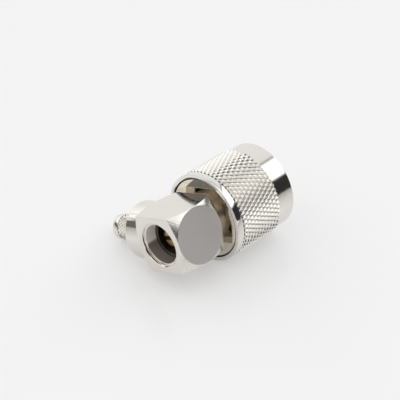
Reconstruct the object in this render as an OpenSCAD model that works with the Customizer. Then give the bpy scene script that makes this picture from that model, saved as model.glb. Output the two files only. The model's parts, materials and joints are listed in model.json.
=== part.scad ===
// Right-angle N type plug for crimped coaxial cable.
// A square bar, turned at both ends, carries a knurled crimp stem on one side and a
// turned front shell on another. The shell holds the outer contact, two insulators, the
// centre contact and a gasket, and a split ring keeps the knurled coupling nut on it.
//
// Frame: +X runs along the mating axis, out of the nut. The origin is on that axis, in
// the plane of the outer contact's front end. +Z is up, and the plug lies on the nut's
// rim and on the tip of its stem, so the cable axis slopes down towards +Y.

/* [Elbow block] */
// Width of the square bar across its flats
block_w = 13; // [12.6:0.1:14.4]
// Distance from the crossing of the two axes to either end of the bar
block_half = 6.6; // [6:0.1:8]
// Diameter of the flat turned face at either end
end_face_d = 12.9; // [10:0.1:12.9]
// Angle of the turned ends, measured from the end face
end_angle = 30; // [20:1:40]
// Diameter of the round shoulder on the cable side
shoulder_d = 12.9; // [10:0.1:12.9]
// Length of the round shoulder past the end of the bar
shoulder_len = 4.2; // [3:0.1:6]
// Broken edge on the shoulder
shoulder_edge = 0.2; // [0.1:0.05:0.6]
// Diameter of the lathe centre mark in the closed end
centre_mark_d = 0.9; // [0.4:0.1:2]

/* [Access hole] */
// Diameter of the seat for the cap that closes the hole
cap_seat_d = 10.2; // [9.4:0.1:11]
// Depth of the cap seat
cap_seat_depth = 0.6; // [0.3:0.05:1.2]
// Diameter of the hole behind the seat
access_d = 9.2; // [8.4:0.1:9.3]
// Depth of the hole from the flat to its floor
access_depth = 3.5; // [2.6:0.1:3.8]
// Diameter of the chamber round the solder post
chamber_d = 7.8; // [6.8:0.1:8.2]

/* [Crimp stem] */
// Outer diameter of the stem
stem_d = 5.66; // [5.2:0.02:6.6]
// Length of the stem from the shoulder to its tip
stem_len = 8.4; // [6:0.1:12]
// Bore for the insulated core of the cable
stem_bore_d = 3.2; // [2.4:0.1:3.6]
// Length of the smooth tip
stem_tip_len = 1.6; // [1:0.1:2.4]
// Broken edge on the tip
stem_edge = 0.2; // [0.1:0.05:0.4]
// Number of knurl ridges round the stem, in each direction
stem_knurls = 22; // [16:1:28]
// Length of one knurl diamond along the stem
stem_knurl_pitch = 1.05; // [0.8:0.05:1.6]
// Depth of the stem's knurl
stem_knurl_depth = 0.2; // [0.1:0.02:0.26]

/* [Front shell] */
// Length of the neck that shows between the bar and the flange
neck_len = 1.5; // [1:0.1:3]
// Diameter of the neck
neck_d = 11.4; // [10.6:0.1:12.4]
// Diameter of the spigot that is pressed into the bar
spigot_d = 10; // [9:0.1:10.4]
// Length of the spigot inside the bar
spigot_len = 3.4; // [2.6:0.1:3.8]
// Diameter of the flange behind the nut
flange_d = 18.5; // [17:0.1:18.6]
// Thickness of the flange
flange_t = 1.8; // [1.4:0.1:2.4]
// Diameter of the barrel that the nut turns on
barrel_d = 14; // [13.2:0.1:14.6]
// Length of the barrel
barrel_len = 2.6; // [2.4:0.1:3.6]
// Outer diameter of the outer contact
contact_od = 8; // [7.8:0.05:8.2]
// Inner diameter of the outer contact
contact_bore_d = 7; // [6.6:0.05:7.1]
// Length of the outer contact in front of the barrel
contact_len = 10.2; // [9:0.1:12]
// Pairs of spring slots in the outer contact
slot_pairs = 2; // [1:1:4]
// Width of a spring slot
slot_w = 0.45; // [0.3:0.05:0.8]
// Length of a spring slot
slot_len = 5; // [3:0.1:6]
// Inner diameter of the shell behind the front insulator
shell_bore_d = 6; // [5:0.1:6.4]

/* [Coupling nut] */
// Diameter over the knurl and the rear rim
nut_d = 20.8; // [20.6:0.1:23]
// Overall length of the nut
nut_len = 18.2; // [17:0.1:21]
// How far the nut's rear face stands behind the flange
nut_overhang = 0.35; // [0.2:0.05:0.8]
// Length of the smooth rear rim
rim_len = 1.7; // [1.2:0.1:3]
// Broken edges of the rear rim
rim_edge = 0.25; // [0.1:0.05:0.5]
// Width of the groove between the rear rim and the knurl
relief_w = 0.3; // [0.2:0.05:0.8]
// Diameter of the smooth front band
band_d = 19.86; // [19.6:0.02:19.9]
// Length of the smooth front band
band_len = 4.9; // [3:0.1:6]
// Broken edges of the front band
band_edge = 0.25; // [0.1:0.05:0.5]
// Number of knurl ridges round the nut, in each direction
nut_knurls = 60; // [48:1:72]
// Length of one knurl diamond along the nut
nut_knurl_pitch = 2.07; // [1.6:0.01:2.6]
// Depth of the nut's knurl
nut_knurl_depth = 0.42; // [0.2:0.02:0.44]
// Minor diameter of the coupling thread
thread_minor_d = 14.85; // [14.7:0.01:15]
// Diameter of the plain mouth in front of the thread
mouth_d = 16.3; // [16:0.1:17]
// Length of the plain mouth
mouth_len = 1.2; // [0.8:0.1:2]
// Radial gap between the gasket and the relief behind the thread
relief_gap = 0.6; // [0.5:0.1:0.8]
// Length of the relief in front of the gasket
thread_relief_len = 0.6; // [0.4:0.1:1.5]

/* [Retaining ring] */
// Radial width of the split ring
ring_w = 1; // [0.9:0.05:1.2]
// Thickness of the split ring
ring_t = 0.6; // [0.5:0.05:0.8]
// Width of the gap in the split ring
ring_gap = 2; // [1:0.1:4]
// Depth of the ring's groove in the barrel
ring_groove_depth = 0.6; // [0.5:0.05:0.8]

/* [Gasket] */
// How far the gasket stands proud of the barrel all round
gasket_lip = 0.6; // [0.4:0.1:0.8]
// Inner diameter of the gasket
gasket_bore_d = 9.4; // [9.2:0.1:10.4]
// Thickness of the gasket
gasket_t = 1.3; // [1:0.1:1.6]

/* [Inner conductor] */
// Diameter of the slotted solder post
post_d = 3.8; // [3.4:0.1:4.2]
// Distance from the flat with the access hole to the post's end
post_recess = 3.6; // [2.8:0.1:4]
// Width of the slot for the cable's inner wire
post_slot_w = 1; // [0.8:0.05:1.4]
// Thickness of the rear insulator's head behind the post
insulator_head_t = 1.1; // [0.8:0.1:1.6]
// Diameter of the inner conductor through the insulators
conductor_d = 3; // [2.8:0.05:3.2]
// How far the front insulator stands behind the outer contact's end
insulator_recess = 6; // [5.2:0.1:7]
// Diameter of the mating pin
pin_d = 1.65; // [1.6:0.01:1.68]
// Length of the mating pin
pin_len = 5.2; // [4:0.1:6]
// How far the pin's tip stands in front of the outer contact
pin_lead = 0.8; // [0:0.1:1.6]

/* [Fits] */
// Radial clearance where the nut turns on the barrel
turn_fit = 0.05; // [0.03:0.01:0.08]
// Radial clearance of pieces that are seated in each other
seat_fit = 0.02; // [0.01:0.01:0.04]
// Clearance at the end of a groove or a step that must not touch
end_gap = 0.2; // [0.15:0.05:0.3]

/* [Hidden] */
$fn = 96;

// Cuts run past the faces that they open
past = 1;

// Stations along the mating axis, from the crossing of the two axes
flat_x = block_w / 2;
flange_x = flat_x + neck_len;
barrel_x = flange_x + flange_t;
seat_x = barrel_x + barrel_len;
contact_x = seat_x + contact_len;
spigot_x = flat_x - spigot_len;
nut_x = flange_x - nut_overhang;
nut_end = nut_x + nut_len;
floor_x = access_depth - flat_x;
post_x = post_recess - flat_x;
head_x = spigot_x - insulator_head_t;
insulator_x = barrel_x - flange_t / 2;
pin_end = contact_x + pin_lead;
pin_x = pin_end - pin_len;

// Stations along the cable axis
shoulder_y = block_half + shoulder_len;
stem_end = shoulder_y + stem_len;

// The nut's bore: step past the flange, then the turning fit, then the thread relief
turn_x = barrel_x + end_gap;
relief_x = seat_x - end_gap;
thread_x = seat_x + gasket_t + thread_relief_len;
turn_r = barrel_d / 2 + turn_fit;
gasket_r = barrel_d / 2 + gasket_lip;
relief_r = gasket_r + relief_gap;
ring_x = (turn_x + relief_x) / 2;
ring_r = barrel_d / 2 - ring_groove_depth + seat_fit;
nut_groove_r = ring_r + ring_w + end_gap;
knurl_x = nut_x + rim_len + relief_w;
knurl_len = nut_end - band_len - knurl_x;

// The plug is rolled about the mating axis until the stem or the shoulder meets the
// surface that the nut lies on
function roll_to(reach, r) = asin(nut_d / 2 / norm([reach, r])) - atan2(r, reach);
roll = min(roll_to(stem_end - stem_edge, stem_d / 2),
           roll_to(shoulder_y - shoulder_edge, shoulder_d / 2));

nickel = [0.80, 0.78, 0.75];
grey_nickel = [0.66, 0.65, 0.64];
gold = [0.83, 0.65, 0.33];
ptfe = [0.95, 0.95, 0.93];
silicone = [0.72, 0.25, 0.18];
spring_steel = [0.60, 0.60, 0.61];

// Places a piece that is drawn round the crossing of the axes, with its cable axis
// along +Y and its mating axis along +X
module placed() {
    translate([-contact_x, 0, 0]) rotate([-roll, 0, 0]) children();
}

// Turns a profile of [radius, station] points about the mating axis
module turned(profile) {
    rotate([0, 90, 0]) rotate_extrude() polygon(profile);
}

// Turns a profile of [radius, station] points about the cable axis
module turned_on_cable_axis(profile) {
    rotate([-90, 0, 0]) rotate_extrude() polygon(profile);
}

// A round hole along the mating axis
module hole(d, from, to) {
    translate([from, 0, 0]) rotate([0, 90, 0]) cylinder(d = d, h = to - from);
}

// A band of diamond knurl round Z. Two sets of ridges cross, so crests and pits take
// turns on a grid of half pitches, and each diamond is a four-sided pyramid. The back
// of the band lies inside the metal that carries it.
module knurl(crest_d, depth, back_d, ridges, pitch, length) {
    cols = 2 * ridges;
    rows = max(2, round(2 * length / pitch));
    function radius(i, j) = crest_d / 2 - ((i + j) % 2 == 0 ? 0 : depth);
    function ring(z, radii) = [for (i = [0:cols - 1])
        [radii[i] * cos(i * 360 / cols), radii[i] * sin(i * 360 / cols), z]];
    function at(i, j) = j * cols + i % cols;
    back = [for (i = [0:cols - 1]) back_d / 2];
    front = [for (j = [0:rows]) each
        ring(j * length / rows, [for (i = [0:cols - 1]) radius(i, j)])];
    points = concat(front, ring(length, back), ring(0, back));
    slopes = [for (j = [0:rows - 1]) for (i = [0:cols - 1]) each (i + j) % 2 == 0
        ? [[at(i, j), at(i, j + 1), at(i + 1, j)],
           [at(i + 1, j + 1), at(i + 1, j), at(i, j + 1)]]
        : [[at(i, j), at(i + 1, j + 1), at(i + 1, j)],
           [at(i, j), at(i, j + 1), at(i + 1, j + 1)]]];
    // The top, the back and the bottom close the band from its last row to its first
    closing = [for (j = [rows:rows + 2]) for (i = [0:cols - 1])
        let (k = (j + 1) % (rows + 3))
        [at(i, j), at(i, k), at(i + 1, k), at(i + 1, j)]];
    polyhedron(points, concat(slopes, closing), convexity = 4);
}

// The bar's outline, turned to a cone and a flat face at both ends
module bar() {
    corner_r = block_w;
    cone = (corner_r - end_face_d / 2) * tan(end_angle);
    intersection() {
        cube([block_w, 2 * block_half, block_w], center = true);
        turned_on_cable_axis([
            [0, -block_half],
            [end_face_d / 2, -block_half],
            [corner_r, cone - block_half],
            [corner_r, block_half - cone],
            [end_face_d / 2, block_half],
            [0, block_half]]);
    }
}

// The shoulder and the stem, turned in one with the bar
module cable_side() {
    shoulder_r = shoulder_d / 2;
    stem_r = stem_d / 2;
    core_r = stem_r - stem_knurl_depth - seat_fit;
    tip_y = stem_end - stem_tip_len;
    turned_on_cable_axis([
        [0, 0],
        [shoulder_r, 0],
        [shoulder_r, shoulder_y - shoulder_edge],
        [shoulder_r - shoulder_edge, shoulder_y],
        [core_r, shoulder_y],
        [core_r, tip_y],
        [stem_r, tip_y],
        [stem_r, stem_end - stem_edge],
        [stem_r - stem_edge, stem_end],
        [0, stem_end]]);
    translate([0, shoulder_y + end_gap, 0]) rotate([-90, 0, 0])
        knurl(stem_d, stem_knurl_depth, (2 * core_r + stem_bore_d) / 2, stem_knurls,
              stem_knurl_pitch, tip_y - shoulder_y - 2 * end_gap);
}

module elbow_block() {
    color(nickel) placed() difference() {
        union() {
            bar();
            cable_side();
        }
        hole(cap_seat_d, -flat_x - past, cap_seat_depth - flat_x);
        hole(access_d, -flat_x - past, floor_x);
        hole(chamber_d, floor_x - past, spigot_x + past);
        hole(spigot_d + 2 * seat_fit, spigot_x, flat_x + past);
        rotate([-90, 0, 0]) cylinder(d = stem_bore_d, h = stem_end + past);
        translate([0, -block_half, 0]) rotate([-90, 0, 0])
            cylinder(d1 = centre_mark_d, d2 = 0, h = centre_mark_d / 2);
    }
}

module front_shell() {
    groove_r = barrel_d / 2 - ring_groove_depth;
    groove_half = ring_t / 2 + end_gap / 2;
    color(nickel) placed() difference() {
        turned([
            [shell_bore_d / 2, spigot_x],
            [spigot_d / 2, spigot_x],
            [spigot_d / 2, flat_x],
            [neck_d / 2, flat_x],
            [neck_d / 2, flange_x],
            [flange_d / 2, flange_x],
            [flange_d / 2, barrel_x],
            [barrel_d / 2, barrel_x],
            [barrel_d / 2, ring_x - groove_half],
            [groove_r, ring_x - groove_half],
            [groove_r, ring_x + groove_half],
            [barrel_d / 2, ring_x + groove_half],
            [barrel_d / 2, seat_x],
            [contact_od / 2, seat_x],
            [contact_od / 2, contact_x],
            [contact_bore_d / 2, contact_x],
            [contact_bore_d / 2, insulator_x],
            [shell_bore_d / 2, insulator_x]]);
        for (i = [0:slot_pairs - 1])
            rotate([i * 180 / slot_pairs, 0, 0])
                translate([contact_x - slot_len, -contact_od, -slot_w / 2])
                    cube([slot_len + past, 2 * contact_od, slot_w]);
    }
}

module coupling_nut() {
    rim_r = nut_d / 2;
    band_r = band_d / 2;
    rear_r = flange_d / 2 + end_gap;
    nut_groove_half = ring_t / 2 + end_gap;
    color(nickel) placed() union() {
        turned([
            [rear_r, nut_x],
            [rim_r - rim_edge, nut_x],
            [rim_r, nut_x + rim_edge],
            [rim_r, nut_x + rim_len - rim_edge],
            [rim_r - rim_edge, nut_x + rim_len],
            [band_r, nut_x + rim_len],
            [band_r, nut_end - band_edge],
            [band_r - band_edge, nut_end],
            [mouth_d / 2, nut_end],
            [mouth_d / 2, nut_end - mouth_len],
            [thread_minor_d / 2, nut_end - mouth_len],
            [thread_minor_d / 2, thread_x],
            [relief_r, thread_x],
            [relief_r, relief_x],
            [turn_r, relief_x],
            [turn_r, ring_x + nut_groove_half],
            [nut_groove_r, ring_x + nut_groove_half],
            [nut_groove_r, ring_x - nut_groove_half],
            [turn_r, ring_x - nut_groove_half],
            [turn_r, turn_x],
            [rear_r, turn_x]]);
        translate([knurl_x, 0, 0]) rotate([0, 90, 0])
            knurl(nut_d, nut_knurl_depth, band_r + rear_r, nut_knurls,
                  nut_knurl_pitch, knurl_len);
    }
}

module retaining_ring() {
    color(spring_steel) placed() difference() {
        turned([
            [ring_r, ring_x - ring_t / 2],
            [ring_r + ring_w, ring_x - ring_t / 2],
            [ring_r + ring_w, ring_x + ring_t / 2],
            [ring_r, ring_x + ring_t / 2]]);
        translate([ring_x - ring_t, -ring_gap / 2, 0])
            cube([2 * ring_t, ring_gap, barrel_d]);
    }
}

module gasket() {
    color(silicone) placed() turned([
        [gasket_bore_d / 2, seat_x],
        [gasket_r, seat_x],
        [gasket_r, seat_x + gasket_t],
        [gasket_bore_d / 2, seat_x + gasket_t]]);
}

module front_insulator() {
    color(ptfe) placed() turned([
        [conductor_d / 2 + seat_fit, insulator_x],
        [contact_bore_d / 2 - seat_fit, insulator_x],
        [contact_bore_d / 2 - seat_fit, contact_x - insulator_recess],
        [conductor_d / 2 + seat_fit, contact_x - insulator_recess]]);
}

module rear_insulator() {
    color(ptfe) placed() turned([
        [conductor_d / 2 + seat_fit, head_x],
        [chamber_d / 2 - seat_fit, head_x],
        [chamber_d / 2 - seat_fit, spigot_x],
        [shell_bore_d / 2 - seat_fit, spigot_x],
        [shell_bore_d / 2 - seat_fit, insulator_x],
        [conductor_d / 2 + seat_fit, insulator_x]]);
}

module centre_contact() {
    pin_r = pin_d / 2;
    color(gold) placed() difference() {
        turned([
            [0, post_x],
            [post_d / 2, post_x],
            [post_d / 2, head_x],
            [conductor_d / 2, head_x],
            [conductor_d / 2, pin_x],
            [pin_r, pin_x],
            [pin_r, pin_end - pin_r],
            [pin_r / 2, pin_end],
            [0, pin_end]]);
        // The wire lies on the floor of the slot, on the cable axis
        translate([post_x - past, -post_d, -post_slot_w / 2])
            cube([past - post_x + post_slot_w / 2, 2 * post_d, post_slot_w]);
    }
}

elbow_block();
front_shell();
coupling_nut();
retaining_ring();
gasket();
front_insulator();
rear_insulator();
centre_contact();
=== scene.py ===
"""Looks of a right-angle N type plug: turned and knurled skins, their finishes and a studio."""

import json
import logging
import math
from collections.abc import Callable, Iterable, Sequence
from dataclasses import dataclass, field
from enum import Enum, IntEnum

import bmesh
import bpy
import numpy as np
from bpy.types import Material, Node, NodeSocket, NodeTree, Object
from mathutils import Matrix, Vector


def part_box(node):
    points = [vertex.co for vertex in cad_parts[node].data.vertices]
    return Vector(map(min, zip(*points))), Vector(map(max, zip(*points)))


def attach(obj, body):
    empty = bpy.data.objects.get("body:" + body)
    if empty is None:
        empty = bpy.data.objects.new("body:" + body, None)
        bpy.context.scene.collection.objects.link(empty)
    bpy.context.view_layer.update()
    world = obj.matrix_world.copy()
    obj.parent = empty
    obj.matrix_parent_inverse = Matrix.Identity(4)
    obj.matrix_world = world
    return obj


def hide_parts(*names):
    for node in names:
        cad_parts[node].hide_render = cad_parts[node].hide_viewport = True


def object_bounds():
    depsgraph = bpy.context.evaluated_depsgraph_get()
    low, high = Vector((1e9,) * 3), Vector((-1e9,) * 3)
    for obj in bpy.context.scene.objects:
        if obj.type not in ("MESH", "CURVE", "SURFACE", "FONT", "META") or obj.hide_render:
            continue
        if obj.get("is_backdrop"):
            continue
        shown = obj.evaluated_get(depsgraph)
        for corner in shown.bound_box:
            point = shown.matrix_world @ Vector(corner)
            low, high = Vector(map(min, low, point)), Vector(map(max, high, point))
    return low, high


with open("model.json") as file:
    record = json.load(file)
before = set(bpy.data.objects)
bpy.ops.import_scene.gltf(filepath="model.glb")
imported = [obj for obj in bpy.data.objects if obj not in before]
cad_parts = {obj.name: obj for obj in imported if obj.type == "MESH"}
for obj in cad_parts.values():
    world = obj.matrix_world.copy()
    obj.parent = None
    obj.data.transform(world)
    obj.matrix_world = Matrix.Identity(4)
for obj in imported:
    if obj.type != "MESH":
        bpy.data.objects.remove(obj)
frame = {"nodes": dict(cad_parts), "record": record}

LOG = logging.getLogger("n_type_plug")
MM = 0.001
FULL_TURN = 2 * math.pi
BODY = "connector_body"
NUT_BODY = "coupling_nut"
# Edges that meet at more than this angle stay sharp, in degrees
SHARP_ANGLE = 32.0
# How far a cutter reaches past what it cuts, and a joined solid into what carries it
PAST = 1.0
# Radii below this are a point on the axis
POINT_RADIUS = 1e-9
# No rounding takes more than this share of a side
ROUNDED_SHARE = 0.49
# Material place of a piece that has one finish
ONLY = 0

Pair = tuple[float, float]
Triple = tuple[float, float, float]
Place = Vector | np.ndarray
Input = NodeSocket | float | Sequence[float]


class Axis(Enum):
    """The two axes that a piece can be turned on, in the plug's own frame."""

    MATING = "mating"
    CABLE = "cable"


class Joining(Enum):
    """Ways to bring two solids together."""

    UNITE = "UNION"
    CUT = "DIFFERENCE"


class Zone(IntEnum):
    """Material places of the elbow block, in the order of its material slots."""

    FLAT = 0
    CONE = 1
    END_FACE = 2
    ROUND = 3
    BORE = 4
    # Painted shade: the chamber and its floor deep in the hole are coloured near black
    CHAMBER = 5


class NutZone(IntEnum):
    """Material places of the coupling nut, in the order of its material slots."""

    TURNED = 0
    KNURL = 1
    # Painted shade: near black in the groove behind the rim and on the step's wall round the flange
    GAP_PAINTED_SHADE = 2
    BAND = 3


class ShellZone(IntEnum):
    """Material places of the front shell, in the order of its material slots."""

    TURNED = 0
    # Painted shade: the neck in the recess between the block and the flange is coloured dark
    NECK = 1


def mount(record: dict, name: str) -> dict:
    """Return a mount of the record by its name."""
    return next(m for m in record["mounts"] if m["name"] == name)


def half_size(node: str) -> float:
    """Return half of a CAD node's height, in millimetres."""
    low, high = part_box(node)
    return (high.z - low.z) / 2 / MM


# ---------------------------------------------------------------- the plug's own frame


@dataclass(frozen=True)
class PlugFrame:
    """The frame at the crossing of the axes: X mates, Y is the cable's, Z leaves the top flat."""

    to_row: Matrix  # matrix from millimetres in the plug's frame to metres in the row frame

    @classmethod
    def from_record(cls, record: dict) -> "PlugFrame":
        """Work the frame out from the place and the slope of the crimp stem.

        Args:
            record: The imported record, with its mounts.

        Returns:
            The plug's frame.
        """
        stem = mount(record, "crimp_stem")
        cable = Vector(stem["axis"]).normalized()
        mating = Vector((1, 0, 0))
        turn = Matrix((mating, cable, mating.cross(cable))).transposed().to_4x4()
        crossing = Vector((stem["pos_m"][0], 0, 0))
        return cls(Matrix.Translation(crossing) @ turn @ Matrix.Scale(MM, 4))

    def station(self, place: float) -> float:
        """Return the station in millimetres of a place in metres on the row's X axis."""
        return (place - self.to_row.translation.x) / MM

    def span(self, node: str) -> Pair:
        """Return the stations of a CAD node's rear and front ends."""
        low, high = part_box(node)
        return self.station(low.x), self.station(high.x)


# ---------------------------------------------------------------- turned profiles


@dataclass(frozen=True)
class Corner:
    """One corner of a turned profile, in millimetres."""

    radius: float  # distance from the axis
    station: float  # place along the axis
    edge: float = 0.0  # size of the broken edge at this corner
    zone: int = 0  # material place of the stretch from this corner to the next


def path(zone: int, *rows: tuple[float, ...]) -> list[Corner]:
    """Return corners of one material place, each given as radius, station and broken edge."""
    return [Corner(*row, zone=zone) for row in rows]


def bend(start: Place, middle: Place, stop: Place, share: float) -> Place:
    """Return the point at a share of the way round a smooth bend."""
    return start * (1 - share) ** 2 + middle * 2 * share * (1 - share) + stop * share**2


def rounded(corners: Sequence[Corner], closed: bool,
            steps: int = 2) -> list[tuple[float, float, int]]:
    """Round the broken edges of a profile.

    Args:
        corners: The profile's corners in order.
        closed: Whether the last corner joins the first.
        steps: Stretches in each rounded edge.

    Returns:
        Points as radius, station and the zone of the stretch that follows.
    """
    points = []
    count = len(corners)
    for index, corner in enumerate(corners):
        here = Vector((corner.radius, corner.station))
        end = not closed and index in (0, count - 1)
        if corner.edge <= 0 or end:
            points.append((*here, corner.zone))
            continue
        before = corners[index - 1]
        after = corners[(index + 1) % count]
        back = Vector((before.radius, before.station)) - here
        ahead = Vector((after.radius, after.station)) - here
        reach = min(corner.edge, ROUNDED_SHARE * back.length, ROUNDED_SHARE * ahead.length)
        start = here + back.normalized() * reach
        stop = here + ahead.normalized() * reach
        for step in range(steps + 1):
            zone = before.zone if step < steps / 2 else corner.zone
            points.append((*bend(start, here, stop, step / steps), zone))
    return points


# ---------------------------------------------------------------- skins


def new_object(name: str, data: bpy.types.ID) -> Object:
    """Make an object of some data and link it to the scene."""
    made = bpy.data.objects.new(name, data)
    bpy.context.scene.collection.objects.link(made)
    return made


@dataclass
class Skin:
    """A mesh made of rings round one axis, each with the same number of columns."""

    columns: np.ndarray  # angles of the columns, in radians
    axis: Axis  # the axis that the rings lie round
    points: list[np.ndarray] = field(default_factory=list)  # places of the points, ring by ring
    faces: list[tuple[int, ...]] = field(default_factory=list)  # point numbers of each face
    zones: list[int] = field(default_factory=list)  # material place of each face
    rings: list[list[int]] = field(default_factory=list)  # point numbers of each ring
    # Material place of the band that starts at each ring
    ring_zones: list[int] = field(default_factory=list)
    count: int = 0  # number of points

    def place(self, radius: np.ndarray, station: np.ndarray) -> np.ndarray:
        """Place a ring's points.

        Args:
            radius: Distance from the axis, in each column.
            station: Place along the axis, in each column.

        Returns:
            The points in the plug's frame.
        """
        cos, sin = radius * np.cos(self.columns), radius * np.sin(self.columns)
        along = station + 0 * cos
        parts = [along, cos, sin] if self.axis is Axis.MATING else [sin, along, cos]
        return np.stack(parts, 1)

    def add_ring(self, radius: float | np.ndarray, station: float | np.ndarray,
                 zone: int = 0) -> None:
        """Add a ring, or a single point where the radius is nought.

        Args:
            radius: Distance from the axis, one value or one for each column.
            station: Place along the axis, one value or one for each column.
            zone: Material place of the band from this ring to the next.
        """
        if np.max(np.abs(radius)) < POINT_RADIUS:
            along = float(np.max(station))
            spot = (along, 0, 0) if self.axis is Axis.MATING else (0, along, 0)
            new = np.array([spot], float)
        else:
            new = self.place(np.asarray(radius) + 0 * self.columns, np.asarray(station))
        self.points.append(new)
        self.rings.append(list(range(self.count, self.count + len(new))))
        self.ring_zones.append(zone)
        self.count += len(new)

    def add_profile(self, profile: Iterable[tuple[float, float, int]]) -> None:
        """Add a ring for each point of a profile."""
        for radius, station, zone in profile:
            self.add_ring(radius, station, zone)

    def bridge(self, closed: bool, follow: Callable[[int, int], bool | None] | None = None) -> None:
        """Join each ring to the next with faces.

        Args:
            closed: Whether the last ring joins the first.
            follow: Says for a ring and a column whether the face there is split along its rising
                diagonal or its falling one, or is None to leave it whole.
        """
        last = len(self.rings) if closed else len(self.rings) - 1
        for row in range(last):
            low, high = self.rings[row], self.rings[(row + 1) % len(self.rings)]
            size = max(len(low), len(high))
            for column in range(size):
                after = (column + 1) % size
                if len(low) == 1:
                    new = [(low[0], high[after], high[column])]
                elif len(high) == 1:
                    new = [(low[column], low[after], high[0])]
                else:
                    corners = (low[column], low[after], high[after], high[column])
                    split = follow(row, column) if follow else None
                    if split is None:
                        new = [corners]
                    elif split:
                        new = [corners[:3], (corners[0], corners[2], corners[3])]
                    else:
                        new = [(corners[0], corners[1], corners[3]), corners[1:]]
                self.faces.extend(new)
                self.zones.extend([self.ring_zones[row]] * len(new))

    def build(self, name: str) -> Object:
        """Make the object of this skin, in millimetres in the plug's frame.

        Args:
            name: Name of the object.

        Returns:
            The new object.
        """
        mesh = bpy.data.meshes.new(name)
        mesh.from_pydata(np.concatenate(self.points).tolist(), [], self.faces)
        mesh.polygons.foreach_set("material_index", np.array(self.zones, np.int32))
        work = bmesh.new()
        work.from_mesh(mesh)
        bmesh.ops.recalc_face_normals(work, faces=work.faces)
        work.to_mesh(mesh)
        work.free()
        return new_object(name, mesh)


def even_columns(count: int) -> np.ndarray:
    """Return evenly spaced column angles."""
    return np.arange(count) * (FULL_TURN / count)


def turned(name: str, corners: Sequence[Corner], axis: Axis = Axis.MATING,
           columns: int = 160) -> Object:
    """Turn a profile about an axis.

    Args:
        name: Name of the piece.
        corners: The profile, closed unless it starts and ends on the axis.
        axis: The axis that it is turned about.
        columns: Number of columns round it.

    Returns:
        The new object, in millimetres in the plug's frame.
    """
    closed = corners[0].radius > 0
    skin = Skin(even_columns(columns), axis)
    skin.add_profile(rounded(corners, closed))
    skin.bridge(closed)
    return skin.build(name)


def block(name: str, low: Sequence[float], high: Sequence[float]) -> Object:
    """Make a box, used as a cutter.

    Args:
        name: Name of the box.
        low: Its lowest corner.
        high: Its highest corner.

    Returns:
        The new object.
    """
    mesh = bpy.data.meshes.new(name)
    work = bmesh.new()
    bmesh.ops.create_cube(work, size=1)
    size = Vector(high) - Vector(low)
    middle = (Vector(high) + Vector(low)) / 2
    for vert in work.verts:
        vert.co = Vector(a * b for a, b in zip(vert.co, size)) + middle
    work.to_mesh(mesh)
    work.free()
    return new_object(name, mesh)


def combine(piece: Object, other: Object, joining: Joining) -> None:
    """Join another solid to a piece or cut it away, and delete the other solid.

    Args:
        piece: The piece that is changed.
        other: The solid that is joined or cut away.
        joining: Whether it is joined or cut away.
    """
    modifier = piece.modifiers.new("combine", "BOOLEAN")
    modifier.operation = joining.value
    modifier.object = other
    modifier.solver = "EXACT"
    modifier.material_mode = "TRANSFER"
    graph = bpy.context.evaluated_depsgraph_get()
    mesh = bpy.data.meshes.new_from_object(piece.evaluated_get(graph), depsgraph=graph)
    piece.modifiers.clear()
    old = piece.data
    piece.data = mesh
    bpy.data.meshes.remove(old)
    bpy.data.objects.remove(other)


@dataclass(frozen=True)
class Knurl:
    """A band of diamond knurl, cut by two sets of ridges that cross."""

    radius: float  # radius over the crests
    depth: float  # depth of the valleys
    ridges: int  # number of ridges round the band, in each direction
    start: float  # station of the band's rear end
    length: float  # length of the band
    pitch: float  # length of one diamond along the band
    samples: int = 4  # columns and rows in half a diamond
    flat: float = 0.26  # share of each ridge that is left flat on its crest
    floor: float = 0.6  # width of a valley's flat floor, as a share of that of a crest

    def columns(self) -> np.ndarray:
        """Return the column angles that follow the diamonds."""
        return even_columns(2 * self.ridges * self.samples)

    def ridge(self, phase: np.ndarray) -> np.ndarray:
        """Return a ridge's height above its valleys, for a phase that grows by one a ridge."""
        off_crest = 2 * np.abs(phase - np.round(phase))
        slope = 1 - (1 + self.floor) * self.flat
        return self.depth * (1 - np.clip((off_crest - self.flat) / slope, 0, 1))

    def surface(self, angle: np.ndarray, station: np.ndarray) -> np.ndarray:
        """Shape the knurled surface.

        Args:
            angle: Angles round the axis, in radians.
            station: Stations along it.

        Returns:
            The radius of the surface there.
        """
        across = self.ridges * angle / FULL_TURN
        along = (station - self.start) / self.fitted_pitch()
        crossed = np.minimum(self.ridge(across + along), self.ridge(across - along))
        return self.radius - self.depth + crossed

    def rows(self) -> int:
        """Return the number of bands of faces along the knurl."""
        return self.samples * max(2, round(2 * self.length / self.pitch))

    def fitted_pitch(self) -> float:
        """Return the pitch that fits a whole number of half diamonds in the band."""
        return 2 * self.length * self.samples / self.rows()

    def add_to(self, skin: Skin, zone: int) -> tuple[int, int]:
        """Add the band's rings to a skin.

        Args:
            skin: The skin, whose columns come from this knurl.
            zone: Material place of the band.

        Returns:
            The first and the last row of the band.
        """
        first = len(skin.rings)
        for row in range(self.rows() + 1):
            station = self.start + self.length * row / self.rows()
            skin.add_ring(self.surface(skin.columns, station), station, zone)
        return first, first + self.rows()

    def follower(self, skin: Skin, first: int, last: int) -> Callable[[int, int], bool | None]:
        """Return the rule that splits the band's faces along its valleys.

        Args:
            skin: The skin that holds the band.
            first: First row of the band.
            last: Last row of the band.

        Returns:
            A rule for Skin.bridge.
        """
        step = self.length / self.rows()
        turn = skin.columns[1] - skin.columns[0]

        def follow(row: int, column: int) -> bool | None:
            """Compare the two diagonals with the true height in the middle of the face.

            Args:
                row: The face's row.
                column: The face's column.

            Returns:
                True for the rising diagonal, False for the falling one, None off the band.
            """
            if not first <= row < last:
                return None
            angle = skin.columns[column]
            station = self.start + (row - first) * step
            low, right, left, high, middle = self.surface(
                angle + np.array([0, turn, 0, turn, turn / 2]),
                station + np.array([0, 0, step, step, step / 2]),
            )
            return bool(abs((low + high) / 2 - middle) <= abs((left + right) / 2 - middle))

        return follow


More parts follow.
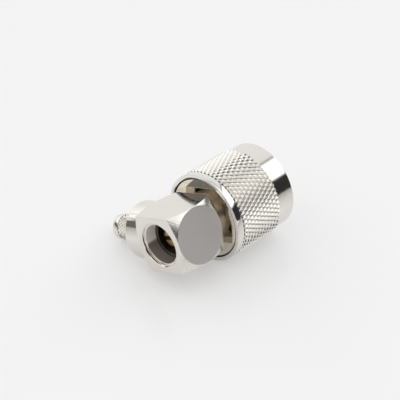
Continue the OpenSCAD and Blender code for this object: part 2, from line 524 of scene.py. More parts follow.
@dataclass(frozen=True)
class InnerThread:
    """The nut's coupling thread."""

    minor: float  # radius over the crests
    major: float  # radius at the roots
    start: float  # station of the first turn
    end: float  # station of the last turn
    pitch: float = 25.4 / 24  # advance in one turn
    rows_per_turn: int = 6  # rings in one pitch
    steepness: float = 1.3  # how fast the flanks fall from a crest to a root
    crest: float = 0.12  # how far the fall starts from the middle of a crest
    lead: float = 0.1  # share of the full depth that the thread has at its ends

    def add_to(self, skin: Skin) -> None:
        """Add the thread's rings to a skin, from its front end to its rear end.

        Args:
            skin: The skin of the nut.
        """
        rows = round((self.end - self.start) / self.pitch * self.rows_per_turn)
        for row in range(rows + 1):
            station = self.end + (self.start - self.end) * row / rows
            phase = station / self.pitch - skin.columns / FULL_TURN
            flank = 2 * np.abs(phase - np.round(phase))
            fade = min(1.0, (self.end - station) / self.pitch + self.lead,
                       (station - self.start) / self.pitch + self.lead)
            root = np.clip(self.steepness * flank - self.crest, 0, 1) * fade
            skin.add_ring(self.minor + (self.major - self.minor) * root, station)




# ---------------------------------------------------------------- finishes


@dataclass(frozen=True)
class Pattern:
    """A noise pattern."""

    scale: float  # number of patches in one unit of its space
    detail: float  # number of finer layers
    roughness: float  # how strong the finer layers are


# Patterns of the metals, then of the mouldings, then of the table
STAINS = Pattern(0.16, 3.0, 0.55)
RUBBED = Pattern(2.2, 5.0, 0.7)
SPECKS = Pattern(5.0, 3.0, 0.7)
CLOUDING = Pattern(0.7, 4.0, 0.6)
PORES = Pattern(9.0, 3.0, 0.6)
TABLE_CLOUDS = Pattern(14.0, 3.0, 0.5)
# Between which values of its pattern each effect rises from none to all
STAIN_EDGES = (0.52, 0.75)
RUBBED_EDGES = (0.3, 0.7)
SPECK_EDGES = (0.45, 0.72)
CLOUD_EDGES = (0.35, 0.7)
TABLE_EDGES = (0.3, 0.7)
# Between which depths along its direction a painted shade deepens, in millimetres
PAINTED_SHADE_DEPTHS = (1.8, 2.5)
# How far tool marks are drawn out along a flat, and round an axis
DRAWN_ALONG = 0.03
DRAWN_ROUND = 0.4
SPECK_COLOUR = (0.2, 0.19, 0.18)
LEAST_ROUGHNESS = 0.02
# Finer layers of the tool marks' pattern, and how strong they are
MARK_DETAIL = 4.0
MARK_ROUGHNESS = 0.65


def opaque(colour: Triple) -> tuple[float, float, float, float]:
    """Return a colour with full cover."""
    return (*colour, 1.0)


class Nodes:
    """Short calls for building a node tree."""

    def __init__(self, tree: NodeTree) -> None:
        """Empty a tree, to build it anew."""
        self.tree = tree
        tree.nodes.clear()

    def add(self, kind: str, **values: Input | str) -> Node:
        """Add a node and set its properties, or its inputs where a name is an input's.

        Args:
            kind: The node's type, without its ShaderNode prefix.
            values: Properties or inputs of the node. An output socket is linked to the input.

        Returns:
            The new node.
        """
        node = self.tree.nodes.new("ShaderNode" + kind)
        inputs = {}
        for name, value in values.items():
            if hasattr(node, name):
                setattr(node, name, value)
            else:
                inputs[name] = value
        self.feed(node, **inputs)
        return node

    def feed(self, node: Node, **values: Input) -> None:
        """Set or link a node's inputs.

        Args:
            node: The node.
            values: Its inputs by name, or by in and a number where several have one name.
        """
        for name, value in values.items():
            title = name.replace("_", " ")
            socket = node.inputs[int(title[2:]) if title[2:].isdigit() else title]
            if isinstance(value, NodeSocket):
                self.tree.links.new(value, socket)
            else:
                socket.default_value = value

    def math(self, operation: str, first: Input, second: Input = 0.0) -> NodeSocket:
        """Return the result of a math node."""
        return self.add("Math", operation=operation, in0=first, in1=second).outputs[0]

    def plus(self, first: Input, second: Input) -> NodeSocket:
        """Return a sum."""
        return self.math("ADD", first, second)

    def minus(self, first: Input, second: Input) -> NodeSocket:
        """Return a difference."""
        return self.math("SUBTRACT", first, second)

    def times(self, first: Input, second: Input) -> NodeSocket:
        """Return a product."""
        return self.math("MULTIPLY", first, second)

    def most(self, first: Input, second: Input) -> NodeSocket:
        """Return the greater of two values."""
        return self.math("MAXIMUM", first, second)

    def dot(self, first: Input, second: Input) -> NodeSocket:
        """Return the dot product of two vectors."""
        node = self.add("VectorMath", operation="DOT_PRODUCT", in0=first, in1=second)
        return node.outputs["Value"]

    def vector(self, x: Input, y: Input = 0.0, z: Input = 0.0) -> NodeSocket:
        """Return a vector made of its parts."""
        return self.add("CombineXYZ", X=x, Y=y, Z=z).outputs[0]

    def ramp(self, value: Input, low: float, high: float, start: float = 0.0, stop: float = 1.0,
             curve: str = "SMOOTHSTEP") -> NodeSocket:
        """Rise from one value to another between two limits.

        Args:
            value: What is followed.
            low: Where the rise starts.
            high: Where it ends.
            start: The result before the rise.
            stop: The result after it.
            curve: The form of the rise, SMOOTHSTEP or LINEAR.

        Returns:
            The result.
        """
        return self.add("MapRange", interpolation_type=curve, Value=value, From_Min=low,
                        From_Max=high, To_Min=start, To_Max=stop).outputs[0]

    def line(self, value: Input, edges: Pair, start: float = 0.0,
             stop: float = 1.0) -> NodeSocket:
        """Rise straight from start to stop between two edges."""
        return self.ramp(value, *edges, start, stop, "LINEAR")

    def noise(self, point: Input, pattern: Pattern) -> NodeSocket:
        """Return a noise pattern's value at a point."""
        return self.add("TexNoise", Vector=point, Scale=pattern.scale, Detail=pattern.detail,
                        Roughness=pattern.roughness).outputs["Fac"]

    def blend(self, share: Input, first: Input, second: Input) -> NodeSocket:
        """Return a mix of two colours."""
        node = self.add("Mix", data_type="RGBA")
        self.feed(node, in0=share, in6=first, in7=second)
        return node.outputs[2]


class MaterialNodes(Nodes):
    """The nodes of a new material, with its shader and its output."""

    def __init__(self, name: str) -> None:
        """Start a material with a plain shader.

        Args:
            name: Name of the material.
        """
        self.material = bpy.data.materials.new(name)
        self.material.use_nodes = True
        super().__init__(self.material.node_tree)
        self.shader = self.add("BsdfPrincipled")
        self.output = self.add("OutputMaterial", Surface=self.shader.outputs["BSDF"])

    def place_on_plug(self, plug: PlugFrame) -> NodeSocket:
        """Follow the surface in the plug's frame.

        Args:
            plug: The plug's frame.

        Returns:
            The surface point in that frame, in millimetres.
        """
        back = plug.to_row.inverted()
        point = self.add("TexCoord").outputs["Object"]
        return self.add("Mapping", vector_type="POINT", Vector=point, Location=back.translation,
                        Rotation=back.to_euler(), Scale=back.to_scale()).outputs["Vector"]

    def bump(self, height: Input, depth: float) -> NodeSocket:
        """Return the normal of a relief whose depth is in millimetres."""
        return self.add("Bump", Strength=1.0, Distance=depth * MM, Height=height).outputs[0]


class Lay(Enum):
    """The way that tool marks run."""

    ROUND_MATING = "round the mating axis"
    ROUND_CABLE = "round the cable axis"
    ALONG_CABLE = "along the bar"


@dataclass(frozen=True)
class Metal:
    """A plated or bare metal with tool marks, faint stains and fine scratches, and painted shade
    where a direction for it is set.
    """

    name: str
    colour: Triple
    # The tint below also colours the painted shade where a direction for it is set
    stain_and_shade_tint: Triple = (0.75, 0.68, 0.58)  # colour of its faint stains
    roughness: float = 0.12  # roughness between the marks
    marks: float = 0.002  # depth of the tool marks, in millimetres
    lay: Lay = Lay.ROUND_MATING  # the way that the marks run
    spacing: float = 0.12  # rough distance between marks, in millimetres
    stain: float = 0.25  # how strongly the stains show
    spread: float = 0.06  # how much the roughness varies
    stretch: float = 0.0  # how much farther reflections spread along the mating axis than round it
    # Direction, in the plug's frame, towards which painted shade darkens the colour to the tint;
    # none where nought
    painted_shade_direction: Triple = (0.0, 0.0, 0.0)
    # Share of the surface that mirrors as bare metal; the rest is a dull skin
    metallic: float = 1.0
    speckle: float = 0.0  # how much a fine grain darkens the colour

    def lay_coordinates(self, nodes: Nodes, point: NodeSocket) -> NodeSocket:
        """Stretch the pattern's space along the tool marks.

        Args:
            nodes: The material's nodes.
            point: Surface point in the plug's frame.

        Returns:
            Coordinates for the noise of the marks.
        """
        parts = nodes.add("SeparateXYZ", Vector=point).outputs
        if self.lay is Lay.ALONG_CABLE:
            return nodes.vector(parts["X"], nodes.times(parts["Y"], DRAWN_ALONG), parts["Z"])
        names = "YZX" if self.lay is Lay.ROUND_MATING else "XZY"
        first, second, along = (parts[name] for name in names)
        square = nodes.plus(nodes.math("POWER", first, 2.0), nodes.math("POWER", second, 2.0))
        angle = nodes.math("ARCTAN2", first, second)
        slow = nodes.times(nodes.math("SINE", angle), DRAWN_ROUND)
        return nodes.vector(nodes.math("SQRT", square), slow, along)

    def base_colour(self, nodes: Nodes, point: NodeSocket) -> NodeSocket:
        """Stain and speckle the metal's colour, and darken it with painted shade along a direction
        where one is set.

        Args:
            nodes: The material's nodes.
            point: Surface point in the plug's frame.

        Returns:
            The colour at the point.
        """
        stain_and_shade_tint = opaque(self.stain_and_shade_tint)
        patch = nodes.line(nodes.noise(point, STAINS), STAIN_EDGES, stop=self.stain)
        base = nodes.blend(patch, opaque(self.colour), stain_and_shade_tint)
        if self.speckle:
            share = nodes.line(nodes.noise(point, SPECKS), SPECK_EDGES, stop=self.speckle)
            base = nodes.blend(share, base, opaque(SPECK_COLOUR))
        # Painted shade: the colour darkens to the tint deeper along the direction
        if any(self.painted_shade_direction):
            base = nodes.blend(nodes.ramp(nodes.dot(point, self.painted_shade_direction), *PAINTED_SHADE_DEPTHS), base, stain_and_shade_tint)
        return base

    def build(self, plug: PlugFrame) -> Material:
        """Make the material.

        Args:
            plug: The plug's frame, which the marks follow.

        Returns:
            The new material.
        """
        nodes = MaterialNodes(self.name)
        point = nodes.place_on_plug(plug)
        marks = nodes.noise(self.lay_coordinates(nodes, point),
                            Pattern(1 / self.spacing, MARK_DETAIL, MARK_ROUGHNESS))
        rough = nodes.line(nodes.noise(point, RUBBED), RUBBED_EDGES,
                           max(LEAST_ROUGHNESS, self.roughness - self.spread),
                           self.roughness + self.spread)
        nodes.feed(nodes.shader, Metallic=self.metallic, Base_Color=self.base_colour(nodes, point),
                   Roughness=rough, Normal=nodes.bump(marks, self.marks))
        if self.stretch:
            nodes.feed(nodes.shader, Anisotropic=self.stretch, Tangent=nodes.vector(1.0))
        return nodes.material


@dataclass(frozen=True)
class Moulding:
    """A plastic or rubber with a faint grain."""

    name: str
    colour: Triple
    shade: Triple  # darker colour of its clouding
    roughness: float  # roughness of the surface
    glow: float  # how far light enters the surface, as a share
    grain: float = 0.004  # depth of the grain, in millimetres
    reach: float = 0.5  # how deep the light that enters spreads, in millimetres

    def build(self, plug: PlugFrame) -> Material:
        """Make the material.

        Args:
            plug: The plug's frame, which the grain follows.

        Returns:
            The new material.
        """
        nodes = MaterialNodes(self.name)
        point = nodes.place_on_plug(plug)
        share = nodes.line(nodes.noise(point, CLOUDING), CLOUD_EDGES)
        nodes.feed(nodes.shader, Roughness=self.roughness, Subsurface_Weight=self.glow,
                   Subsurface_Scale=self.reach * MM,
                   Base_Color=nodes.blend(share, opaque(self.colour), opaque(self.shade)),
                   Normal=nodes.bump(nodes.noise(point, PORES), self.grain))
        return nodes.material


@dataclass(frozen=True)
class TableTop:
    """The glossy pale table."""

    name: str = "table_top"
    colour: Triple = (0.92, 0.92, 0.925)
    cloud: float = 0.985  # share of that colour where it is darkest
    roughness: float = 0.12  # roughness of its gloss
    index: float = 1.5  # index of refraction, which sets how strongly it mirrors
    white: Triple = (0.98, 0.98, 0.985)  # brightness of the paper's own glow
    lift: float = 0.4  # share of that glow for the camera
    mirror_lift: float = 0.22  # share of that glow in mirrors

    def build(self) -> Material:
        """Make the material."""
        nodes = MaterialNodes(self.name)
        point = nodes.add("TexCoord").outputs["Object"]
        share = nodes.line(nodes.noise(point, TABLE_CLOUDS), TABLE_EDGES)
        low = opaque(tuple(self.cloud * part for part in self.colour))
        nodes.feed(nodes.shader, Base_Color=nodes.blend(share, opaque(self.colour), low),
                   Roughness=self.roughness, IOR=self.index)
        paper = nodes.add("Emission", Color=opaque(self.white))
        ray = nodes.add("LightPath").outputs
        seen = nodes.plus(nodes.times(ray["Is Camera Ray"], self.lift),
                          nodes.times(ray["Is Glossy Ray"], self.mirror_lift))
        mix = nodes.add("MixShader", in0=seen, in1=nodes.shader.outputs[0], in2=paper.outputs[0])
        nodes.feed(nodes.output, Surface=mix.outputs[0])
        return nodes.material


@dataclass(frozen=True)
class Finishes:
    """Every finish of the plug, by the piece or face that has it."""

    flat: Metal = Metal("nickel_flats", (0.80, 0.768, 0.72), lay=Lay.ALONG_CABLE, marks=0.0008,
                        spacing=0.10, stain=0.5)
    cone: Metal = Metal("nickel_turned_cone", (0.80, 0.775, 0.735), roughness=0.26,
                        lay=Lay.ROUND_CABLE, marks=0.003, spacing=0.10)
    end_face: Metal = Metal("nickel_end_face", (0.86, 0.825, 0.81), roughness=0.45,
                            lay=Lay.ROUND_CABLE, marks=0.0014, spacing=0.20, stain=0.1,
                            speckle=0.32)
    round: Metal = Metal("nickel_turned_round", (0.80, 0.77, 0.725), roughness=0.07,
                         lay=Lay.ROUND_CABLE, marks=0.0008, spacing=0.16, spread=0.03)
    # Painted shade: the bore's colour darkens deeper down the access hole and along the cable's
    # bore
    bore: Metal = Metal("nickel_bore", (0.97, 0.93, 0.87), stain_and_shade_tint=(0.26, 0.22, 0.20), roughness=0.42,
                        marks=0.0005, spacing=0.14, stain=0.0, spread=0.04, stretch=0.95,
                        painted_shade_direction=(0.0, 0.41, -0.91), metallic=0.35)
    # Painted shade, near black, for the chamber and its floor deep in the hole
    chamber: Metal = Metal("tarnished_chamber", (0.12, 0.095, 0.085), roughness=0.35)
    nut: Metal = Metal("nickel_nut", (0.82, 0.797, 0.765), roughness=0.075, marks=0.0008,
                       spacing=0.16, spread=0.03)
    knurl: Metal = Metal("nickel_knurl", (0.86, 0.837, 0.80), roughness=0.23, marks=0.0008,
                         spacing=0.16, spread=0.03)
    band: Metal = Metal("nickel_band", (0.82, 0.79, 0.755), stain_and_shade_tint=(0.78, 0.68, 0.58),
                        roughness=0.11, marks=0.0012, stain=0.6, spread=0.04)
    # Painted shade, near black, for the nut's groove and the gap round the flange
    gap: Metal = Metal("gap_shadow", (0.05, 0.045, 0.04), roughness=0.5)
    shell: Metal = Metal("nickel_shell", (0.76, 0.71, 0.63), roughness=0.07, marks=0.001,
                         spacing=0.14, spread=0.03)
    gold: Metal = Metal("gold_plate", (0.64, 0.43, 0.19), stain_and_shade_tint=(0.46, 0.28, 0.11), roughness=0.38,
                        stain=0.6)
    # Painted shade, dark, on the neck in the recess behind the flange
    neck: Metal = Metal("tarnished_neck", (0.40, 0.34, 0.275), roughness=0.35)
    ring: Metal = Metal("plated_bronze", (0.60, 0.57, 0.53), roughness=0.28, marks=0.003)
    ptfe: Moulding = Moulding("ptfe", (0.88, 0.88, 0.86), (0.82, 0.82, 0.80), 0.45, 0.2)
    silicone: Moulding = Moulding("silicone", (0.52, 0.10, 0.055), (0.44, 0.08, 0.045), 0.5, 0.05)


def give(piece: Object, materials: Sequence[Material]) -> None:
    """Add materials to a piece, in the order of its material places."""
    for material in materials:
        piece.data.materials.append(material)


# ---------------------------------------------------------------- the pieces


@dataclass
class Part:
    """What the classes of the pieces share. Their sizes are in millimetres."""

    record: dict
    plug: PlugFrame
    finishes: Finishes

    def dims(self, name: str) -> dict:
        """Return the sizes of one of the record's mounts."""
        return mount(self.record, name)["dims"]

    def materials(self, *finishes: Metal | Moulding) -> list[Material]:
        """Make the materials of some finishes, in their order."""
        return [finish.build(self.plug) for finish in finishes]

    def settle(self, piece: Object, body: str, nodes: Sequence[str], slot: str,
               materials: Sequence[Material]) -> None:
        """Bring a piece into the row frame, dress it and tie it to its body.

        Args:
            piece: The piece, in millimetres in the plug's frame.
            body: The CAD body that it rides on.
            nodes: The CAD nodes that it stands for.
            slot: The record's material slot; not used.
            materials: Its materials, in the order of its material places.
        """
        mesh = piece.data
        mesh.transform(self.plug.to_row)
        if len(materials) == 1:
            mesh.materials.clear()
            give(piece, materials)
        mesh.shade_smooth()
        mesh.set_sharp_from_angle(angle=math.radians(SHARP_ANGLE))
        piece.modifiers.new("even_normals", "WEIGHTED_NORMAL").keep_sharp = True
        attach(piece, body)
        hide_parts(*nodes)
        box = np.array(piece.bound_box)
        size = " x ".join(f"{extent / MM:.1f}" for extent in box.max(0) - box.min(0))
        LOG.info("%s: %d faces, %s mm", piece.name, len(mesh.polygons), size)


@dataclass
class ElbowBlock(Part):
    """The square bar, its turned ends, its shoulder and its knurled stem."""

    width: float = 13.0  # width across the flats
    half: float = 6.6  # distance from the crossing of the axes to either end of the bar
    face_radius: float = 6.45  # radius of the flat turned end
    face_edge: float = 0.04  # broken edge of that end and of its centre mark
    end_angle: float = 30.0  # angle of the turned cones from the end face, in degrees
    edge: float = 0.05  # broken edge between a cone and a flat
    corner: float = 0.08  # rounding of the bar's long corners
    # Angles of the columns to either side of a long corner, in degrees
    corner_fan: tuple[float, ...] = (0.2, 0.45, 0.75, 1.0)
    shoulder_radius: float = 6.45
    shoulder_end: float = 10.8  # station of the shoulder's face
    shoulder_edge: float = 0.18  # broken edge of that face
    mark: float = 0.3  # radius of the lathe centre mark
    mark_depth: float = 0.06
    mark_ring: float = 0.1  # distance of a ring round the mark that keeps the face flat
    face_ring: float = 0.12  # distance of such a ring inside the face's edge
    cone_ring: float = 0.05  # distance of such a ring outside the face's edge
    tip_length: float = 1.6  # length of the stem's smooth tip
    knurl_depth: float = 0.26
    knurl_ridges: int = 22
    knurl_pitch: float = 1.05  # length of one diamond
    knurl_gap: float = 0.2  # plain length at either end of the knurl
    play: float = 0.02  # how far the plain core lies under the knurl's valleys
    floor_depth: float = 3.5
    chamber_radius: float = 3.9
    spigot_radius: float = 5.02
    spigot_start: float = 3.1  # station where the bore for the shell's spigot starts
    seat_lead: float = 0.1  # lead of the cap's seat and of the chamber
    hole_lead: float = 0.08  # lead of the access hole
    bore_lead: float = 0.15  # lead of the cable's bore
    columns: int = 240  # number of even columns round the bar
    stem_radius: float = field(init=False)
    stem_edge: float = field(init=False)  # broken edge of the stem's end, from the record
    stem_end: float = field(init=False)
    bore_radius: float = field(init=False)
    seat_radius: float = field(init=False)
    seat_depth: float = field(init=False)
    hole_radius: float = field(init=False)

    def __post_init__(self) -> None:
        """Take the stem, the bores and the hole from the record's mounts."""
        stem = mount(self.record, "crimp_stem")
        length = stem["dims"]["length_mm"]
        tip = self.plug.to_row.inverted() @ Vector(stem["pos_m"])
        self.stem_radius = stem["dims"]["r_mm"]
        self.stem_edge = self.tip_length - length
        self.stem_end = tip.y + length / 2 + self.stem_edge
        self.bore_radius = self.dims("cable_bore")["r_mm"]
        seat = self.dims("cap_seat")
        self.seat_radius, self.seat_depth = seat["r_mm"], seat["length_mm"]
        self.hole_radius = self.dims("access_hole")["r_mm"]

    def square(self, angles: np.ndarray) -> np.ndarray:
        """Return the radius of the bar's rounded square outline.

        Args:
            angles: Angles about the cable axis, in radians.

        Returns:
            The radius at each angle.
        """
        side = self.width / 2
        inner = side - self.corner
        wrapped = np.mod(angles, FULL_TURN / 4)
        cos, sin = np.cos(wrapped), np.sin(wrapped)
        straight = side / np.maximum(cos, sin)
        under = np.maximum(self.corner**2 - (inner * (cos - sin)) ** 2, 0)
        arc = np.sqrt(under) + inner * (cos + sin)
        return np.where(straight * np.minimum(cos, sin) <= inner, straight, arc)

    def bar_columns(self) -> np.ndarray:
        """Return column angles, closer together at the bar's long corners."""
        fan = np.radians([side * angle for side in (-1, 1) for angle in self.corner_fan])
        corners = [quarter * math.pi / 2 + math.pi / 4 + fan for quarter in range(4)]
        return np.unique(np.round(np.concatenate([even_columns(self.columns), *corners]), 6))

    def add_bar_end(self, skin: Skin, side: int, inner: float) -> None:
        """Add the rings of one turned end, from its flat face to the bar's side or back.

        Args:
            skin: The skin of the block.
            side: -1 for the closed end and 1 for the cable side.
            inner: Radius at which the cone starts.
        """
        angle = math.radians(self.end_angle)
        outline = self.square(skin.columns)
        reach = np.minimum(self.edge, 0.5 * (outline - inner) / math.cos(angle))

        def station(radius: np.ndarray) -> np.ndarray:
            """Return the cone's station at radii."""
            return side * (self.half - (radius - self.face_radius) * math.tan(angle))

        start = outline - reach * math.cos(angle)
        crest = station(outline)
        zones = [Zone.CONE, Zone.CONE, Zone.FLAT][::-side]
        for share, zone in zip((0.0, 0.5, 1.0)[::-side], zones):
            radius = bend(start, outline, outline, share)
            place = bend(station(start), crest, crest - side * reach, share)
            skin.add_ring(radius, place, zone)

    def bar(self) -> Object:
        """Build the bar with its shoulder."""
        slope = math.tan(math.radians(self.end_angle))
        skin = Skin(self.bar_columns(), Axis.CABLE)
        face = -self.half
        ring = self.face_radius + self.cone_ring
        skin.add_profile(rounded([
            *path(Zone.END_FACE,
                  (0, self.mark_depth + face),
                  (self.mark, face, self.face_edge),
                  (self.mark + self.mark_ring, face),
                  (self.face_radius - self.face_ring, face)),
            *path(Zone.CONE,
                  (self.face_radius, face, self.face_edge),
                  (ring, face + self.cone_ring * slope)),
        ], closed=False)[:-1])
        self.add_bar_end(skin, -1, self.face_radius)
        self.add_bar_end(skin, 1, self.shoulder_radius)
        foot = self.half - (self.shoulder_radius - self.face_radius) * slope
        skin.add_profile(rounded(path(
            Zone.ROUND,
            (self.shoulder_radius, foot),
            (self.shoulder_radius, self.shoulder_end, self.shoulder_edge),
            (self.stem_radius / 2, self.shoulder_end),
            (0, self.shoulder_end),
        ), closed=False))
        skin.bridge(closed=False)
        return skin.build("elbow_block_body")

    def stem(self) -> Object:
        """Build the knurled stem, from inside the shoulder to its tip."""
        tip = self.stem_end - self.tip_length
        start = self.shoulder_end + self.knurl_gap
        knurl = Knurl(self.stem_radius, self.knurl_depth, self.knurl_ridges, start,
                      tip - self.knurl_gap - start, self.knurl_pitch)
        core = self.stem_radius - self.knurl_depth - self.play
        root = self.shoulder_end - PAST
        skin = Skin(knurl.columns(), Axis.CABLE)
        skin.add_profile((radius, station, Zone.ROUND)
                         for radius, station in ((0, root), (core, root), (core, start)))
        first, last = knurl.add_to(skin, Zone.ROUND)
        skin.add_profile(rounded(path(
            Zone.ROUND,
            (core, knurl.start + knurl.length),
            (core, tip),
            (self.stem_radius, tip, 0.06),
            (self.stem_radius, self.stem_end, self.stem_edge),
            (self.bore_radius / 2, self.stem_end),
            (0, self.stem_end),
        ), closed=False))
        skin.bridge(closed=False, follow=knurl.follower(skin, first, last))
        return skin.build("crimp_stem")

    def access_cutter(self) -> Object:
        """Build the cutter of the access hole, the chamber and the spigot's bore."""
        flat = self.width / 2
        seat, floor = self.seat_depth - flat, self.floor_depth - flat
        return turned("access_cutter", [
            *path(Zone.BORE, (0, -flat - PAST)),
            *path(Zone.ROUND,
                  (self.seat_radius + self.seat_lead + PAST, -flat - PAST),
                  (self.seat_radius, self.seat_lead - flat),
                  (self.seat_radius, seat, 0.06),
                  (self.hole_radius + self.hole_lead, seat, 0.05)),
            *path(Zone.BORE, (self.hole_radius, self.seat_depth + self.hole_lead - flat, 0.05)),
            # The chamber and its floor get near black painted shade
            *path(Zone.CHAMBER,
                  (self.hole_radius, floor, 0.12),
                  (self.chamber_radius + self.seat_lead, floor, 0.05),
                  (self.chamber_radius, self.floor_depth + self.seat_lead - flat),
                  (self.chamber_radius, self.spigot_start)),
            *path(Zone.BORE,
                  (self.spigot_radius, self.spigot_start),
                  (self.spigot_radius, flat + PAST),
                  (0, flat + PAST)),
        ], columns=200)

    def cable_cutter(self) -> Object:
        """Build the cutter of the cable's bore."""
        return turned("cable_cutter", path(
            Zone.BORE,
            (0, 0),
            (self.bore_radius, 0),
            (self.bore_radius, self.stem_end - self.bore_lead),
            (self.bore_radius + self.bore_lead + PAST, self.stem_end + PAST),
            (0, self.stem_end + PAST),
        ), Axis.CABLE, columns=96)

    def build(self) -> None:
        """Build, cut and dress the block."""
        look = self.finishes
        materials = self.materials(look.flat, look.cone, look.end_face, look.round, look.bore,
                                   look.chamber)
        piece, stem = self.bar(), self.stem()
        holes = [self.access_cutter(), self.cable_cutter()]
        for solid in (piece, stem, *holes):
            give(solid, materials)
        combine(piece, stem, Joining.UNITE)
        for hole in holes:
            combine(piece, hole, Joining.CUT)
        self.settle(piece, BODY, ["elbow_block"], "nickel_satin", materials)


@dataclass
class CouplingNut(Part):
    """The knurled nut with its thread."""

    rim: float = 1.7  # length of the rear rim
    relief: float = 0.3  # width of the groove between the rim and the knurl
    band: float = 4.9  # length of the smooth front band
    band_radius: float = 9.93
    mouth: float = 1.2  # length of the plain mouth
    mouth_radius: float = 8.15
    mouth_lead: float = 0.05  # lead from the mouth to the thread
    thread_lead: float = 0.1  # distance from the mouth to the thread's first turn
    knurl_ridges: int = 60
    knurl_pitch: float = 2.07  # length of one diamond of the knurl
    knurl_depth: float = 0.46
    turn_radius: float = 7.05  # radius of the bore that turns on the barrel
    relief_radius: float = 8.2
    major_radius: float = 7.94  # radius at the thread's roots
    step_depth: float = 2.35  # depth of the step past the flange, from the rear face
    step_clearance: float = 0.25  # gap between that step and the flange
    seat_clearance: float = 0.2  # gap between the turning bore and the gasket's seat

    def build(self) -> None:
        """Build and dress the nut."""
        rear, front = self.plug.span("coupling_nut")
        outer = half_size("coupling_nut")
        step = half_size("front_shell") + self.step_clearance
        thread = self.dims("coupling_thread")
        inner_end = self.plug.span("gasket")[0] - self.seat_clearance
        thread_start = front - self.mouth - thread["length_mm"]
        knurl_start = rear + self.rim + self.relief
        knurl = Knurl(outer, self.knurl_depth, self.knurl_ridges, knurl_start,
                      front - self.band - knurl_start, self.knurl_pitch)
        skin = Skin(knurl.columns(), Axis.MATING)
        skin.add_profile(rounded([
            *path(NutZone.TURNED, (step, rear), (outer, rear, 0.22)),
            # The groove between the rim and the knurl gets near black painted shade
            *path(NutZone.GAP_PAINTED_SHADE,
                  (outer, rear + self.rim, 0.16),
                  (self.band_radius, rear + self.rim, 0.04),
                  (self.band_radius, knurl_start)),
        ], closed=False))
        first, last = knurl.add_to(skin, NutZone.KNURL)
        skin.ring_zones[-1] = NutZone.TURNED
        skin.add_profile(rounded([
            *path(NutZone.BAND, (self.band_radius, front - self.band)),
            *path(NutZone.TURNED,
                  (self.band_radius, front, 0.25),
                  (self.mouth_radius, front, 0.2),
                  (self.mouth_radius, front - self.mouth, 0.05),
                  (thread["r_mm"], front - self.mouth - self.mouth_lead)),
        ], closed=False)[:-1])
        InnerThread(thread["r_mm"], self.major_radius, thread_start,
                    front - self.mouth - self.thread_lead).add_to(skin)
        # The last stretch is the wall of the step past the flange, which closes the skin; it gets
        # near black painted shade for the gap round the flange
        skin.add_profile(rounded([
            *path(NutZone.TURNED,
                  (self.relief_radius, thread_start),
                  (self.relief_radius, inner_end, 0.05),
                  (self.turn_radius, inner_end, 0.08),
                  (self.turn_radius, rear + self.step_depth, 0.08)),
            *path(NutZone.GAP_PAINTED_SHADE, (step, rear + self.step_depth)),
        ], closed=False))
        skin.bridge(closed=True, follow=knurl.follower(skin, first, last))
        piece = skin.build("coupling_nut_body")
        look = self.finishes
        materials = self.materials(look.nut, look.knurl, look.gap, look.band)
        give(piece, materials)
        self.settle(piece, NUT_BODY, ["coupling_nut"], "nickel_polished", materials)


@dataclass
class FrontShell(Part):
    """The turned shell: spigot, neck, flange, barrel and slotted outer contact."""

    spigot_start: float = 3.1  # station of the spigot's end
    spigot_radius: float = 5.0
    flat: float = 6.5  # station of the block's flat
    neck_lead: float = 0.05  # length over which the spigot widens to the neck
    neck_radius: float = 5.7
    flange_start: float = 7.85  # station of the flange's rear face
    flange_play: float = 0.08  # how much smaller than the solid's the flange's radius is
    barrel_start: float = 9.8  # station where the barrel starts
    barrel_radius: float = 7.0
    # Stations of the two sides of the snap ring's groove
    groove: Pair = (10.7, 11.5)
    groove_radius: float = 6.4
    inner_radius: float = 3.0  # radius of the bore behind the front insulator
    wall_radius: float = 3.5  # inner radius of the outer contact
    slot_width: float = 0.45
    slot_length: float = 5.0
    slot_pairs: int = 2  # number of cuts through the contact, each of which makes two slots

    def build(self) -> None:
        """Build, slot and dress the shell."""
        contact = self.dims("outer_contact")
        end = self.plug.span("front_shell")[1]
        seat = end - contact["length_mm"]
        flange = half_size("front_shell") - self.flange_play
        step = self.plug.span("front_insulator")[0]
        rear, front = self.groove
        piece = turned("front_shell_body", [
            *path(ShellZone.TURNED,
                  (self.inner_radius, self.spigot_start, 0.1),
                  (self.spigot_radius, self.spigot_start, 0.15),
                  (self.spigot_radius, self.flat - self.neck_lead)),
            # The neck gets a dark painted shade
            *path(ShellZone.NECK, (self.neck_radius, self.flat)),
            *path(ShellZone.TURNED,
                  (self.neck_radius, self.flange_start),
                  (flange, self.flange_start, 0.04),
                  (flange, self.barrel_start, 0.1),
                  (self.barrel_radius, self.barrel_start),
                  (self.barrel_radius, rear, 0.05),
                  (self.groove_radius, rear),
                  (self.groove_radius, front),
                  (self.barrel_radius, front, 0.05),
                  (self.barrel_radius, seat, 0.1),
                  (contact["r_mm"], seat, 0.1),
                  (contact["r_mm"], end, 0.15),
                  (self.wall_radius, end, 0.1),
                  (self.wall_radius, step),
                  (self.inner_radius, step, 0.05)),
        ], columns=192)
        materials = self.materials(self.finishes.shell, self.finishes.neck)
        give(piece, materials)
        reach = contact["r_mm"] + PAST
        for pair in range(self.slot_pairs):
            cutter = block("slot_cutter", (end - self.slot_length, -reach, -self.slot_width / 2),
                           (end + PAST, reach, self.slot_width / 2))
            give(cutter, materials[:1])
            cutter.data.transform(Matrix.Rotation(pair * math.pi / self.slot_pairs, 4, "X"))
            combine(piece, cutter, Joining.CUT)
        self.settle(piece, BODY, ["front_shell"], "nickel_polished", materials)


